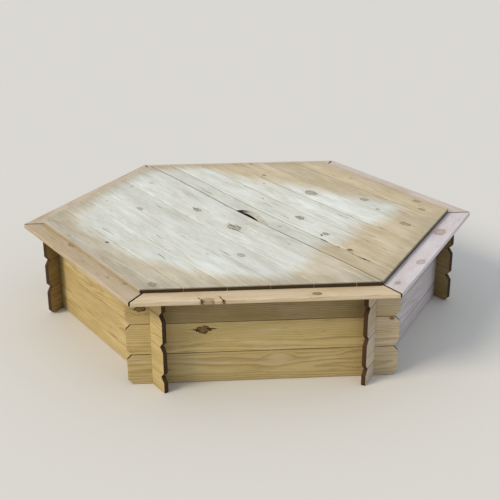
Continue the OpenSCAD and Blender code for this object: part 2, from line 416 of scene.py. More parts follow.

    # End grain drinks the treatment and the rain and goes dark; the joints go dark with dirt, and the
    # cracks, the stubs' backs and the top wall boards are darkened as painted shade
    end_wood = add(tree, "Mix", {0: latewood, 6: colour(ends), 7: colour(knot)}, 2, **rgba)
    wood = add(tree, "Mix", {0: state[0], 6: wood, 7: end_wood}, 2, **rgba)
    wood = add(tree, "Mix", {0: state[2], 6: wood, 7: colour(knot)}, 2, **rgba)

    # Fibre, clouds and each board's own tone make it lighter and darker
    fleck = add(tree, "MapRange", {0: fibre, 1: 0.2, 2: 0.8, 3: 0.88, 4: 1.1})
    patch = add(tree, "MapRange", {0: cloud, 1: 0.3, 2: 0.7, 3: 1 - clouds, 4: 1 + clouds * 0.6})
    own = add(tree, "MapRange", {0: tone, 3: 0.93, 4: 1.06})
    light = add(tree, "Math", {0: fleck, 1: patch}, operation="MULTIPLY")
    light = add(tree, "Math", {0: light, 1: own}, operation="MULTIPLY")
    wood = add(tree, "VectorMath", {0: wood, "Scale": light}, operation="SCALE")

    # Late wood is harder and a little smoother, and stands proud with the fibre and knots
    rough = add(tree, "MapRange", {0: latewood, 3: roughness, 4: roughness - 0.12})
    height = add(tree, "Math", {0: latewood, 1: 0.5, 2: fibre}, operation="MULTIPLY_ADD")
    height = add(tree, "Math", {0: in_knot, 1: 0.8, 2: height}, operation="MULTIPLY_ADD")
    height = add(tree, "Math", {0: checks, 1: -2.0, 2: height}, operation="MULTIPLY_ADD")
    bump = add(tree, "Bump", {"Strength": 0.5, "Distance": 0.6 * MM, "Height": height})
    shader = add(tree, "BsdfPrincipled", {"Base Color": wood, "Roughness": rough, "Normal": bump,
                                          "IOR": 1.5, "Specular IOR Level": 0.3})
    add(tree, "OutputMaterial", {"Surface": shader}, None)
    return material


# Planed and pressure-treated pine: olive yellow with clear rings, and nearly matt
wall_pine = pine("pressure_treated_pine_walls", early="#C7B27A", late="#A0854D", ends="#3C2E10",
                 knot="#43270F", bleached="#CFCAD0", ring=5.5 * MM, show=0.9, roughness=0.72)


def wall_outline(z0, z1, grooved, tongued):
    """Outline of a wall board, its outer face at y = -WALL_AP."""
    y0, y1 = -WALL_AP, WALL_T - WALL_AP
    mid = (y0 + y1) / 2
    groove = TONGUE_W / 2 + TONGUE_PLAY
    corners = [(y0 + V_BEVEL, z0)]
    if grooved:
        corners += [(mid - groove, z0), (mid - groove, z0 + TONGUE_H + TONGUE_PLAY),
                    (mid + groove, z0 + TONGUE_H + TONGUE_PLAY), (mid + groove, z0)]
    corners += [(y1 - V_BEVEL, z0), (y1, z0 + V_BEVEL), (y1, z0 + END_CHAMFER),
                (y1, z1 - END_CHAMFER), (y1, z1 - V_BEVEL), (y1 - V_BEVEL, z1)]
    if tongued:
        corners += [(mid + TONGUE_W / 2, z1), (mid + TONGUE_W / 2, z1 + TONGUE_H),
                    (mid - TONGUE_W / 2, z1 + TONGUE_H), (mid - TONGUE_W / 2, z1)]
    corners += [(y0 + V_BEVEL, z1), (y0, z1 - V_BEVEL), (y0, z1 - END_CHAMFER),
                (y0, z0 + END_CHAMFER), (y0, z0 + V_BEVEL)]
    return rounded(corners, ARRIS, OUTLINE_STEP)


def lathe(profile, parts=24):
    """A turned solid about Z from a profile of radius and height, closed at both ends."""
    turns = 2 * math.pi * np.arange(parts) / parts
    rings = [np.column_stack([r * np.cos(turns), r * np.sin(turns), np.full(parts, z)])
             for r, z in profile]
    last = (len(profile) - 1) * parts
    faces = [(k + i, k + (i + 1) % parts, k + parts + (i + 1) % parts, k + parts + i)
             for k in range(0, last, parts) for i in range(parts)]
    faces += [tuple(range(parts)), tuple(last + i for i in reversed(range(parts)))]
    return new_mesh(np.vstack(rings), faces)


# Two screws are always further apart than this, and one is narrower
SCREWS_APART = 12 * MM


def screw_places(node):
    """Where a group of upright screws stands, from its CAD node: the axis of each."""
    places = []
    points = np.array([v.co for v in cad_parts[node].data.vertices])
    while len(points):
        near = np.hypot(*(points[:, :2] - points[0, :2]).T) < SCREWS_APART
        places.append(Vector(((points[near].min(0) + points[near].max(0)) / 2)[:2]))
        points = points[~near]
    return places


# Countersunk screws 4 mm thick; the holes for them are a shade wider
SCREW_R, SCREW_HEAD_R, SCREW_PLAY = 2 * MM, 4 * MM, 0.1 * MM
SCREW_HEAD_H = SCREW_HEAD_R - SCREW_R


def screw_hole(place, length, up=1):
    """A countersunk hole to cut: place is the middle of the head, and the head faces
    up, or down for up = -1."""
    r, head = SCREW_R + SCREW_PLAY, SCREW_HEAD_R + SCREW_PLAY
    hole = lathe([(head, MM), (head, 0), (r, -SCREW_HEAD_H), (r, -length)])
    hole.transform(Matrix.Translation(place) @ Matrix.Diagonal((1, 1, up, 1)))
    if up < 0:
        hole.flip_normals()
    return hole


SEAT_SCREW_L = 45 * MM
seat_low, seat_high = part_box("seat_e")
SEAT_LOW, SEAT_TOP = seat_low.z, seat_high.z
seat_screw_places = screw_places("seat_screws")


def seat_holes(turn):
    """The holes of one side's seat screws, in the frame of the side that faces -Y."""
    back = Matrix.Rotation(-turn, 2)
    local = [back @ place for place in seat_screw_places]
    return [screw_hole(Vector((*place, SEAT_TOP)), SEAT_SCREW_L + SCREW_PLAY) for place in local
            if abs(place.y + WALL_AP - WALL_T / 2) < MM]


def side_turn(side):
    """Turns a piece made for the side that faces -Y to its own side of the hexagon."""
    return math.radians(120 + 60 * SIDES.index(side))


def more_knots(rng, knots, half_x, half_a, count, sizes, darks):
    """Adds small knots at random, well clear of each other."""
    for _ in range(count * 8):
        x, a = rng.uniform(-half_x, half_x), rng.uniform(-half_a, half_a)
        size = rng.uniform(*sizes)
        clear = [math.hypot(x - k[0], a - k[1]) > KNOT_REACH * (size + k[2]) for k in knots]
        if count and all(clear):
            knots.append((x, a, size, rng.uniform(*darks)))
            count -= 1
    return knots


# Knots to be seen from outside: along the wall, height, half the knot's height, darkness.
# A knot of no darkness lies under the surface and only bends the grain
WALL_KNOTS = {
    "wall_f_board_2": [(-0.209, 0.203, 0.0135, 0.95), (0.445, 0.222, 0.005, 0.9)],
    "wall_f_board_3": [(-0.420, 0.290, 0.011, 0.95)],
    "wall_f_board_1": [(0.055, 0.070, 0.013, 0.0), (0.330, 0.080, 0.014, 0.0),
                       (-0.300, 0.040, 0.010, 0.0)],
    "wall_e_board_4": [(0.250, 0.300, 0.012, 0.0)],
    "wall_e_board_3": [(0.330, 0.215, 0.016, 0.0), (-0.200, 0.240, 0.012, 0.0)],
    "wall_e_board_2": [(0.190, 0.110, 0.016, 0.0), (-0.320, 0.100, 0.012, 0.0)],
}
# Drying cracks: start and end, each along the wall and in height, and the width.
# The front wall's big knot has split its board a little on both sides
WALL_CRACKS = {
    "wall_a_board_3": [((-0.16, 0.226), (0.08, 0.228), 3 * MM),
                       ((0.05, 0.204), (0.27, 0.206), 3 * MM)],
    "wall_a_board_2": [((-0.24, 0.152), (-0.02, 0.150), 2.5 * MM)],
    "wall_f_board_2": [((-0.245, 0.204), (-0.217, 0.202), 5 * MM),
                       ((-0.202, 0.205), (-0.160, 0.204), 4 * MM)],
}
WALL_CRACK_DEEP = 6 * MM
# How grey rain and sun have made each wall's outside, and the stubs that stick out past
# its left and right corner where they differ from it
WALL_GREY = {"a": 0.95, "b": 0.7, "c": 0.45, "d": 0.3, "e": 0.0, "f": 0.0}
STUB_GREY = {"a": (0.45, 0.6), "f": (0.0, 0.25)}
# How dark dirt has made the joints and the foot of the walls as high as rain splashes,
# and how dark the painted shade is on the stubs' backs and on the top boards under the seat
JOINT_DIRT = {"e": 0.25}
OTHER_JOINT_DIRT = 0.55
STUB_SHADE = 0.5
SPLASH_H, SPLASH_DIRT = 70 * MM, 0.1
UNDER_SEAT_SHADE = {"f": 0.4, "a": 0.22, "e": 0.08}
OTHER_UNDER_SEAT_SHADE = 0.05


def wall_board(side, number):
    node = f"wall_{side}_board_{number}"
    seed = 100 + 10 * SIDES.index(side) + number
    rng = np.random.default_rng(seed)
    shift = 0.5 if side in STAGGERED else 0
    lo = max(0, number - 1 - shift)
    hi = min(COURSES, number - shift)
    z0, z1 = lo * COURSE, hi * COURSE
    worked_low = hi - lo == 1 or lo > 0
    worked_high = hi - lo == 1 or hi < COURSES

    def reach(y, z):
        cut_low = END_CHAMFER - (z - z0) if worked_low else 0 * z
        cut_high = END_CHAMFER - (z1 - z) if worked_high else 0 * z
        end = WALL_L / 2 - np.maximum(0, np.maximum(cut_low, cut_high))
        return -end, end

    outline = wall_outline(z0, z1, lo > 0, hi < COURSES)
    mesh = lofted(outline, reach, LENGTH_STEP, SAWN_ARRIS, (z0 + END_CHAMFER, z1 - END_CHAMFER))
    corner = WALL_AP / APOTHEM / 2
    # The notches that lock the corners; the cutters reach 20 mm past the board's edge
    notch = Vector((4 * WALL_T, WALL_T + 2 * NOTCH_PLAY, NOTCH_H + 20 * MM))
    low_notch, high_notch = z0 + NOTCH_H - notch.z / 2, z1 - NOTCH_H + notch.z / 2
    cutters = []
    for m in (-1, 1):
        inward = Vector((-m * APOTHEM, 0.5, 0)) * WALL_T / 2
        middle = Vector((m * corner, -WALL_AP, 0)) + inward
        for worked, z in ((worked_low, low_notch), (worked_high, high_notch)):
            if worked:
                cutters.append(block(middle + Vector((0, 0, z)), notch, m * math.pi / 3))
    if hi == COURSES:
        cutters += seat_holes(side_turn(side))
    cracks = WALL_CRACKS.get(node, [])
    for k, (start, end, width) in enumerate(cracks):
        cutters.append(crack(start, end, WALL_CRACK_DEEP, width, seed + k,
                             lambda x, a, deep: (x, -WALL_AP + deep, a)))
    mesh = cut(mesh, cutters)
    points = points_of(mesh)
    ends = at_ends(points, reach)
    deep = points[:, 1] + WALL_AP
    local = np.column_stack([points[:, 0], points[:, 2] - (z0 + z1) / 2, deep])
    knots = [(x, z - (z0 + z1) / 2, size, dark) for x, z, size, dark in WALL_KNOTS.get(node, [])]
    small = 0 if side == "f" else rng.integers(0, 2)
    more_knots(rng, knots, half_x=0.45, half_a=0.4 * (z1 - z0), count=small,
               sizes=(3 * MM, 7 * MM), darks=(0.25, 0.7))
    in_joint = np.minimum(points[:, 2] - z0, z1 - points[:, 2]) < 0.8 * V_BEVEL
    on_stub = np.abs(points[:, 0]) > corner
    # Painted shade: the backs of the stubs are darkened where the box shades them
    dirt_and_shade = np.where(on_stub & (deep > 0.9 * WALL_T), STUB_SHADE, 0.0)
    dirt_and_shade = np.where(in_joint, JOINT_DIRT.get(side, OTHER_JOINT_DIRT), dirt_and_shade)
    dirt_and_shade = np.maximum(dirt_and_shade, SPLASH_DIRT * np.clip(1 - points[:, 2] / SPLASH_H, 0, 1))
    # Painted shade: the top board is darkened under the seat's overhang, most on the front wall
    if hi == COURSES:
        dirt_and_shade = np.maximum(dirt_and_shade, UNDER_SEAT_SHADE.get(side, OTHER_UNDER_SEAT_SHADE) * (np.abs(points[:, 0]) < corner))
    # Painted shade: the inside of each crack is painted fully dark
    cracked = in_cracks(points[:, 0], points[:, 2], deep, cracks, seed)
    dirt_and_shade[cracked & (deep < 0.6 * WALL_T)] = 1.0
    left_grey, right_grey = STUB_GREY.get(side, (WALL_GREY[side], WALL_GREY[side]))
    stub_grey = np.where(points[:, 0] > 0, right_grey, left_grey)
    bleach = np.where(on_stub, stub_grey, WALL_GREY[side]) * (deep < 0.1 * WALL_T)
    set_grain(mesh, local, COURSE, seed, ends, bleach=bleach, dirt_and_shade=dirt_and_shade, knots=knots)
    mesh.transform(Matrix.Rotation(side_turn(side), 4, "Z"))
    board_object(f"{node}_pine", mesh, wall_pine, "frame", node)


for side in SIDES:
    for number in range(1, 5 if side in STAGGERED else 4):
        wall_board(side, number)


# --- The seat --------------------------------------------------------------------
# Six flat boards of the same pine, mitred at the corners. Each is screwed down into
# the wall's top board with four countersunk screws, all hidden by the lid.
SEAT_AP, SEAT_IN = -seat_low.y, -seat_high.y
MITRE = math.tan(math.radians(30))
MITRE_BACK = SEAT_AP - seat_high.x / MITRE
MITRE_OPEN = 2.3 * MM
SEAT_BEVEL = 2 * MM
PLANK_STEP = 7 * MM

# The same pine under hands, sun and rain: paler and greyer, with faint rings
seat_pine = pine("pressure_treated_pine_seat", early="#CDBB97", late="#B4966A", ends="#3C2E12",
                 knot="#4E3019", bleached="#D2CCD2", ring=6 * MM, show=0.6, roughness=0.7)


def plank_outline(y0, y1, z0, z1, bevel, stops=()):
    """Outline of a bevelled plank, with points at the stops' heights on both edges."""
    corners = [(y0 + bevel, z0), (y1 - bevel, z0), (y1, z0 + bevel)]
    corners += [(y1, z) for z in stops]
    corners += [(y1, z1 - bevel), (y1 - bevel, z1), (y0 + bevel, z1), (y0, z1 - bevel)]
    corners += [(y0, z) for z in reversed(stops)]
    corners += [(y0, z0 + bevel)]
    return rounded(corners, ARRIS, PLANK_STEP)


# Knots to be seen on the seat: along the board, from the middle of the hexagon, half
# the knot's size, darkness
SEAT_KNOTS = {
    "f": [(-0.190, -0.775, 0.012, 0.5), (0.170, -0.753, 0.009, 0.8)],
    "a": [(0.171, -0.732, 0.019, 0.4), (-0.154, -0.754, 0.013, 0.35),
          (-0.368, -0.738, 0.008, 0.4)],
    "e": [(-0.132, -0.716, 0.012, 0.4)],
}
# Two cracks run over the front edge beside a knot
SEAT_CRACKS = {"f": [((-0.156, -0.744), (-0.138, -0.786), 4 * MM),
                     ((-0.224, -0.752), (-0.207, -0.786), 4 * MM)]}
SEAT_CRACK_DEEP = 11 * MM
# How dirty and how grey each board is; more dirt gathers in a line along the lid's edge,
# so far in from the seat's outer edge, and so wide to each side
SEAT_DIRT = {"e": 0.17, "d": 0.08, "c": 0.08, "b": 0.05}
SEAT_GREY = {"a": 0.95, "b": 0.6, "c": 0.45, "d": 0.3, "e": 0.12, "f": 0.1}
DIRT_LINE, DIRT_LINE_W, DIRT_LINE_DARK = 78 * MM, 9 * MM, 0.3


def seat_board(side):
    node = f"seat_{side}"
    seed = 300 + SIDES.index(side)
    rng = np.random.default_rng(seed)

    def reach(y, z):
        end = (-y - MITRE_BACK) * MITRE - MITRE_OPEN
        return -end, end

    outline = plank_outline(-SEAT_AP, -SEAT_IN, SEAT_LOW, SEAT_TOP, SEAT_BEVEL)
    mesh = lofted(outline, reach, LENGTH_STEP, SAWN_ARRIS)
    cutters = seat_holes(side_turn(side))
    cracks = SEAT_CRACKS.get(side, [])
    for k, (start, end, width) in enumerate(cracks):
        cutters.append(crack(start, end, SEAT_CRACK_DEEP, width, seed + k,
                             lambda x, a, deep: (x, a, SEAT_TOP - deep)))
    mesh = cut(mesh, cutters)
    points = points_of(mesh)
    ends = at_ends(points, reach)
    middle = (SEAT_AP + SEAT_IN) / 2
    local = np.column_stack([points[:, 0], points[:, 1] + middle, SEAT_TOP - points[:, 2]])
    knots = [(x, y + middle, size, dark) for x, y, size, dark in SEAT_KNOTS.get(side, [])]
    more_knots(rng, knots, half_x=0.38, half_a=0.05, count=rng.integers(1, 3),
               sizes=(4 * MM, 8 * MM), darks=(0.3, 0.7))
    from_line = np.abs(points[:, 1] + SEAT_AP - DIRT_LINE)
    dirt_and_shade = DIRT_LINE_DARK * np.clip(1 - from_line / DIRT_LINE_W, 0, 1)
    dirt_and_shade = np.maximum(dirt_and_shade, SEAT_DIRT.get(side, 0.0))
    # Painted shade: the inside of each crack is painted fully dark
    cracked = in_cracks(points[:, 0], points[:, 1], SEAT_TOP - points[:, 2], cracks, seed)
    dirt_and_shade[cracked & (points[:, 2] > SEAT_LOW + MM)] = 1.0
    bleach = SEAT_GREY[side] * (points[:, 2] > SEAT_LOW + 0.2 * MM)
    set_grain(mesh, local, SEAT_AP - SEAT_IN, seed, ends, bleach=bleach, dirt_and_shade=dirt_and_shade, knots=knots)
    mesh.transform(Matrix.Rotation(side_turn(side), 4, "Z"))
    board_object(f"{node}_pine", mesh, seat_pine, "frame", node)


for side in SIDES:
    seat_board(side)


# --- The lid boards --------------------------------------------------------------
# Two loose halves of six boards each, cut off along the hexagon's edge and screwed to
# battens from below. Rain and sun have bleached the middle nearly white.
rear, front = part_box("lid_rear_board_1"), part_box("lid_front_board_1")
LID_X = (rear[0].x + rear[1].x) / 2
LID_Y = (rear[0].y + front[1].y) / 2
LID_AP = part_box("lid_rear_board_6")[1].y - LID_Y
LID_R = LID_AP / APOTHEM
LID_LOW, LID_TOP = rear[0].z, rear[1].z
LID_BOARDS = 6
LID_BEVEL = 1.8 * MM
# The lid hangs this much in its middle
LID_SAG = 9 * MM
HEXAGON_AXES = (math.pi / 6, math.pi / 2, 5 * math.pi / 6)
# The boards have cupped, so the front ones step down from the split one after another,
# and the rear ones lie a little uneven
FRONT_STEP, REAR_UNEVEN = 0.35 * MM, 0.8 * MM
# The cut for the fingers slopes: where it starts, its length and its depth, at the top
# of the board and below
FINGER_TOP = (-80 * MM, 232 * MM, 49 * MM)
FINGER_LOW = (-106 * MM, 205 * MM, 36 * MM)
FINGER_STEP = 3 * MM

# The same pine lying open to the sky: pale straw to near white, very matt and cloudy
lid_pine = pine("weathered_pine_lid", early="#D0BF9C", late="#A8926C", ends="#3F3012",
                knot="#3E3325", bleached="#DAE0DC", ring=5.5 * MM, show=0.55, roughness=0.75,
                clouds=0.16)


def hexagon_distance(x, y):
    """Square distance from the middle to the hexagon's side that is nearest."""
    return np.max([np.abs(x * math.cos(a) + y * math.sin(a)) for a in HEXAGON_AXES], axis=0)


def lid_sag(x, y):
    """How far the lid hangs at a place: nothing over the seat ring, most in the middle."""
    hexagon = sum(np.abs(x * math.cos(a) + y * math.sin(a)) ** 8 for a in HEXAGON_AXES) ** (1 / 8)
    inside = np.clip(1 - (hexagon / SEAT_IN) ** 2, 0, None)
    return LID_SAG * inside ** 2


# Knots on the lid: X and Y, half the knot's size, darkness
LID_KNOTS = [
    (-0.397, 0.343, 0.005, 0.95), (-0.082, 0.369, 0.020, 0.5), (0.342, 0.117, 0.009, 0.6),
    (0.531, 0.081, 0.008, 0.6), (0.118, 0.495, 0.012, 0.45), (0.441, 0.432, 0.014, 0.45),
    (0.261, 0.657, 0.010, 0.45), (0.351, 0.603, 0.009, 0.5), (0.135, 0.149, 0.013, 0.6),
    (-0.182, -0.139, 0.013, 0.45), (0.075, -0.126, 0.020, 0.45), (0.342, -0.270, 0.011, 0.4),
    (-0.045, -0.612, 0.005, 0.95), (0.395, -0.662, 0.011, 0.4), (-0.320, -0.330, 0.010, 0.4),
]
# Cracks and torn grain on the lid: the start, the end and the width. The wide ones go
# through the board
LID_CRACKS = [
    ((0.372, 0.0695), (0.482, 0.0695), 5.0 * MM), ((0.555, 0.0695), (0.652, 0.0695), 4.0 * MM),
    ((0.335, 0.098), (0.354, 0.096), 8.0 * MM), ((0.518, 0.088), (0.536, 0.086), 7.0 * MM),
    ((0.015, -0.116), (0.090, -0.122), 3.5 * MM), ((0.070, -0.136), (0.155, -0.131), 3.0 * MM),
    ((0.050, -0.104), (0.105, -0.110), 2.5 * MM), ((-0.225, -0.136), (-0.160, -0.141), 3.0 * MM),
    ((0.180, 0.300), (0.260, 0.296), 3.0 * MM), ((0.300, 0.520), (0.370, 0.517), 2.5 * MM),
    ((-0.110, 0.140), (-0.020, 0.137), 2.5 * MM), ((0.060, 0.105), (0.120, 0.108), 2.5 * MM),
    ((-0.420, 0.020), (-0.300, 0.014), 2.5 * MM), ((0.240, -0.300), (0.330, -0.306), 3.0 * MM),
    ((-0.020, -0.420), (0.040, -0.424), 2.5 * MM), ((-0.330, -0.250), (-0.260, -0.255), 2.0 * MM),
    ((-0.350, 0.190), (-0.270, 0.186), 2.5 * MM), ((0.390, 0.330), (0.450, 0.326), 2.5 * MM),
    ((-0.200, -0.560), (-0.120, -0.556), 2.5 * MM), ((0.150, -0.510), (0.230, -0.514), 2.5 * MM),
]
WIDE_CRACK = 3.5 * MM
WIDE_CRACK_DEEP, CRACK_DEEP = 22 * MM, 10 * MM

# The outline of the part that sun and rain have bleached, X and Y. It fades out over
# some centimetres, and the front half's rim stays half bleached
BLEACHED = [
    (-0.79, -0.02), (-0.62, 0.21), (-0.45, 0.26), (-0.13, 0.40), (0.03, 0.455), (0.26, 0.58),
    (0.345, 0.435), (0.38, 0.27), (0.43, 0.20), (0.455, 0.01), (0.53, -0.05), (0.56, -0.17),
    (0.63, -0.27), (0.46, -0.465), (0.31, -0.55), (0.18, -0.62), (-0.03, -0.655),
    (-0.285, -0.66), (-0.40, -0.60), (-0.50, -0.50), (-0.76, -0.07),
]
BLEACH_FADE = 110 * MM
FRONT_RIM_BLEACH, REAR_RIM_BLEACH = 0.42, 0.15
# Each board is bleached up to this much further or less far than the outline
BLEACH_UNEVEN = 35 * MM
# How dark dirt has made the joints, the split, the finger cut, the rear half where it
# isn't bleached, and the lid's rim, which is that wide
LID_JOINT_DIRT, SPLIT_DIRT, FINGER_DIRT, REAR_DIRT = 0.4, 0.85, 0.22, 0.09
LID_RIM, RIM_DIRT = 80 * MM, 0.2
FINGER_BLEACH = 0.72
# The top of the end grain is painted pale down to this depth, partly wear and partly a painted
# highlight along the lit top edge
END_PALE = {"front": 3.5 * MM, "rear": 10 * MM}
WORN_AND_LIT_END = 0.3


def bleaching(x, y, reach):
    """How far a place on the lid is bleached, from 0 to 1; reach is how much further
    than the outline this board is bleached."""
    away = np.full(len(x), np.inf)
    inside = np.zeros(len(x), bool)
    for (px, py), (qx, qy) in zip(BLEACHED, BLEACHED[1:] + BLEACHED[:1]):
        dx, dy = qx - px, qy - py
        t = np.clip(((x - px) * dx + (y - py) * dy) / (dx ** 2 + dy ** 2), 0, 1)
        away = np.minimum(away, np.hypot(x - px - t * dx, y - py - t * dy))
        inside ^= ((py > y) != (qy > y)) & (x < px + dx * (y - py) / dy)
    away = np.where(inside, away, -away) + reach
    rim = np.where(y < LID_Y, FRONT_RIM_BLEACH, REAR_RIM_BLEACH)
    return np.clip(0.5 + away / BLEACH_FADE, rim, 1)


def lid_board(half, number):
    node = f"lid_{half}_board_{number}"
    seed = 500 + 20 * (half == "front") + number
    rng = np.random.default_rng(seed)
    box_low, box_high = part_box(node)
    y0, y1 = box_low.y, box_high.y
    top = LID_TOP - (FRONT_STEP * number if half == "front" else rng.uniform(0.0, REAR_UNEVEN))

    def reach(y, z):
        end = LID_R - np.abs(y - LID_Y) / (2 * APOTHEM)
        return LID_X - end, LID_X + end

    fingers = node == "lid_rear_board_1"
    stops = [top - END_PALE[half] - MM, top - END_PALE[half]]
    outline = plank_outline(y0, y1, LID_LOW, top, LID_BEVEL, stops)
    mesh = lofted(outline, reach, FINGER_STEP if fingers else LENGTH_STEP, SAWN_ARRIS, stops)
    cracks = [c for c in LID_CRACKS if y0 - 2 * MM < c[0][1] < y1 + 2 * MM]
    cutters = []
    for k, (start, end, width) in enumerate(cracks):
        depth = WIDE_CRACK_DEEP if width > WIDE_CRACK else CRACK_DEEP
        cutters.append(crack(start, end, depth, width, seed + k,
                             lambda x, a, deep: (x, a, top - deep)))
    mesh = cut(mesh, cutters)
    points = points_of(mesh)
    at_end = at_ends(points, reach)
    if fingers:
        rise = (points[:, 2] - LID_LOW) / (LID_TOP - LID_LOW)
        begin, length, depth = [low + (high - low) * rise
                                for low, high in zip(FINGER_LOW, FINGER_TOP)]
        # The power of t moves the deepest place to the left, which makes that end steep
        t = np.clip((points[:, 0] - LID_X - begin) / length, 0, 1)
        depth = depth * np.sin(math.pi * t ** 0.6) ** 0.9
        in_fingers = (depth > 2 * MM) & (points[:, 1] < y0 + MM)
        points[:, 1] += depth * (y1 - points[:, 1]) / (y1 - y0)
    middle = (y0 + y1) / 2
    local = np.column_stack([points[:, 0], points[:, 1] - middle, LID_TOP - points[:, 2]])
    knots = [(x, y - middle, size, dark) for x, y, size, dark in LID_KNOTS if y0 < y < y1]
    more_knots(rng, knots, half_x=0.6, half_a=0.4 * (y1 - y0), count=1,
               sizes=(3 * MM, 6 * MM), darks=(0.2, 0.5))
    from_edge = np.minimum(points[:, 1] - y0, y1 - points[:, 1])
    dirt_and_shade = np.where(from_edge < 0.8 * LID_BEVEL, LID_JOINT_DIRT, 0)
    # On the front half only the edge of each board nearer the split is darkened; the edge that faces
    # the sun is left pale as a painted highlight
    if half == "front":
        dirt_and_shade = dirt_and_shade * (points[:, 1] > middle)
    from_split = np.abs(points[:, 1] - LID_Y)
    dirt_and_shade = np.where(from_split < 1.2 * LID_BEVEL, SPLIT_DIRT, dirt_and_shade)
    from_rim = LID_AP - hexagon_distance(points[:, 0] - LID_X, points[:, 1] - LID_Y)
    dirt_and_shade = np.maximum(dirt_and_shade, RIM_DIRT * np.clip(1.3 - from_rim / LID_RIM, 0, 1))
    bleach = bleaching(points[:, 0], points[:, 1], rng.uniform(-BLEACH_UNEVEN, BLEACH_UNEVEN))
    bleach = bleach * rng.uniform(0.82, 1.0)
    if half == "rear":
        dirt_and_shade = np.maximum(dirt_and_shade, REAR_DIRT * (1 - bleach))
    bleach = bleach * np.clip((points[:, 2] - LID_LOW) / (LID_TOP - LID_LOW), 0, 1)
    # Painted shade: the inside of each crack is painted fully dark
    cracked = in_cracks(points[:, 0], points[:, 1], top - points[:, 2], cracks, seed)
    dirt_and_shade[cracked & (points[:, 2] > LID_LOW + MM)] = 1.0
    # Wear and painted highlight: the top of each sawn end keeps only part of the end grain's darkness
    ends = at_end * np.where(top - points[:, 2] < END_PALE[half] + 0.5 * MM, WORN_AND_LIT_END, 1)
    if fingers:
        dirt_and_shade[in_fingers] = FINGER_DIRT
        bleach[in_fingers] = FINGER_BLEACH
    set_grain(mesh, local, y1 - y0, seed, ends, bleach=bleach, dirt_and_shade=dirt_and_shade, knots=knots)
    points[:, 2] -= lid_sag(points[:, 0], points[:, 1])
    set_points(mesh, points)
    board_object(f"{node}_pine", mesh, lid_pine, f"lid_{half}", node)


for half in ("rear", "front"):
    for number in range(1, LID_BOARDS + 1):
        lid_board(half, number)


# --- The battens under the lid ---------------------------------------------------
# Rough-sawn pine laths that hold each half's boards together. The long pair reaches
# across all the boards, and the short pair holds the long boards near the corners.
# Rough-sawn pine that never sees the sun: warm and plain, without sheen
batten_pine = pine("rough_sawn_pine_battens", early="#C6B084", late="#A58A59", ends="#6A5632",
                   knot="#4F341D", bleached="#C9C2B4", ring=4.5 * MM, show=0.8, roughness=0.85)
BATTEN_ARRIS, BATTEN_END_ARRIS = 1.2 * MM, 0.8 * MM
LID_SCREW_L = 31 * MM
lid_screw_places = {half: screw_places(f"lid_{half}_screws") for half in ("rear", "front")}


def batten(half, number):
    node = f"lid_{half}_batten_{number}"
    seed = 700 + 20 * (half == "front") + number
    rng = np.random.default_rng(seed)
    box_low, box_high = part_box(node)
    middle = (box_low + box_high) / 2
    width, length = box_high.x - box_low.x, box_high.y - box_low.y
    # The batten is lofted along X and then turned to run along Y
    outline = rounded([(-width / 2, box_low.z), (width / 2, box_low.z), (width / 2, box_high.z),
                       (-width / 2, box_high.z)], BATTEN_ARRIS, OUTLINE_STEP)
    mesh = lofted(outline, lambda y, z: (0 * y - length / 2, 0 * y + length / 2), LENGTH_STEP,
                  BATTEN_END_ARRIS)
    mesh.transform(Matrix.Translation((middle.x, middle.y, 0)) @ Matrix.Rotation(math.pi / 2, 4, "Z"))
    inside = [p for p in lid_screw_places[half] if abs(p.x - middle.x) < width / 2]
    mesh = cut(mesh, [screw_hole(Vector((*p, box_low.z)), LID_SCREW_L, -1) for p in inside])
    points = points_of(mesh)
    at_end = np.abs(np.abs(points[:, 1] - middle.y) - length / 2) < 0.5 * BATTEN_END_ARRIS
    local = np.column_stack([points[:, 1] - middle.y, points[:, 0] - middle.x,
                             points[:, 2] - box_low.z])
    knots = more_knots(rng, [], half_x=length / 2, half_a=width / 3, count=rng.integers(1, 4),
                       sizes=(3 * MM, 8 * MM), darks=(0.5, 0.9))
    set_grain(mesh, local, width, seed, at_end.astype(float), knots=knots)
    points[:, 2] -= lid_sag(points[:, 0], points[:, 1])
    set_points(mesh, points)
    board_object(f"{node}_pine", mesh, batten_pine, f"lid_{half}", node)


for half in ("rear", "front"):
    for number in range(1, 5):
        batten(half, number)


# --- The screws ------------------------------------------------------------------
# Countersunk wood screws of zinc-plated steel, with a hexagonal recess in the head.
# Those of the seat stand head up, and those of the lid are driven up from below.
KEY_R, KEY_DEEP = 1.9 * MM, 1.8 * MM
HEAD_ARRIS = 0.25 * MM
THREAD_PITCH, THREAD_DEEP = 2 * MM, 0.55 * MM
PLAIN_SHANK = 0.35
SCREW_POINT = 6 * MM

# Zinc-plated steel: cool grey metal that has gone dull in spots about a millimetre wide
zinc = bpy.data.materials.new("zinc_plated_steel")
zinc.use_nodes = True
tree = zinc.node_tree
tree.nodes.clear()
spots = add(tree, "TexNoise", {"Vector": add(tree, "TexCoord", out=3), "Scale": 1 / (1.111 * MM),
                               "Detail": 3.0})
plate = add(tree, "Mix", {0: spots, 6: colour("#B9B6AC"), 7: colour("#8F8B80")}, 2,
            data_type="RGBA")
dull = add(tree, "MapRange", {0: spots, 3: 0.3, 4: 0.5})
dents = add(tree, "Bump", {"Strength": 0.2, "Distance": 0.05 * MM, "Height": spots})
steel = add(tree, "BsdfPrincipled", {"Base Color": plate, "Roughness": dull, "Normal": dents,
                                     "Metallic": 1.0})
add(tree, "OutputMaterial", {"Surface": steel}, None)


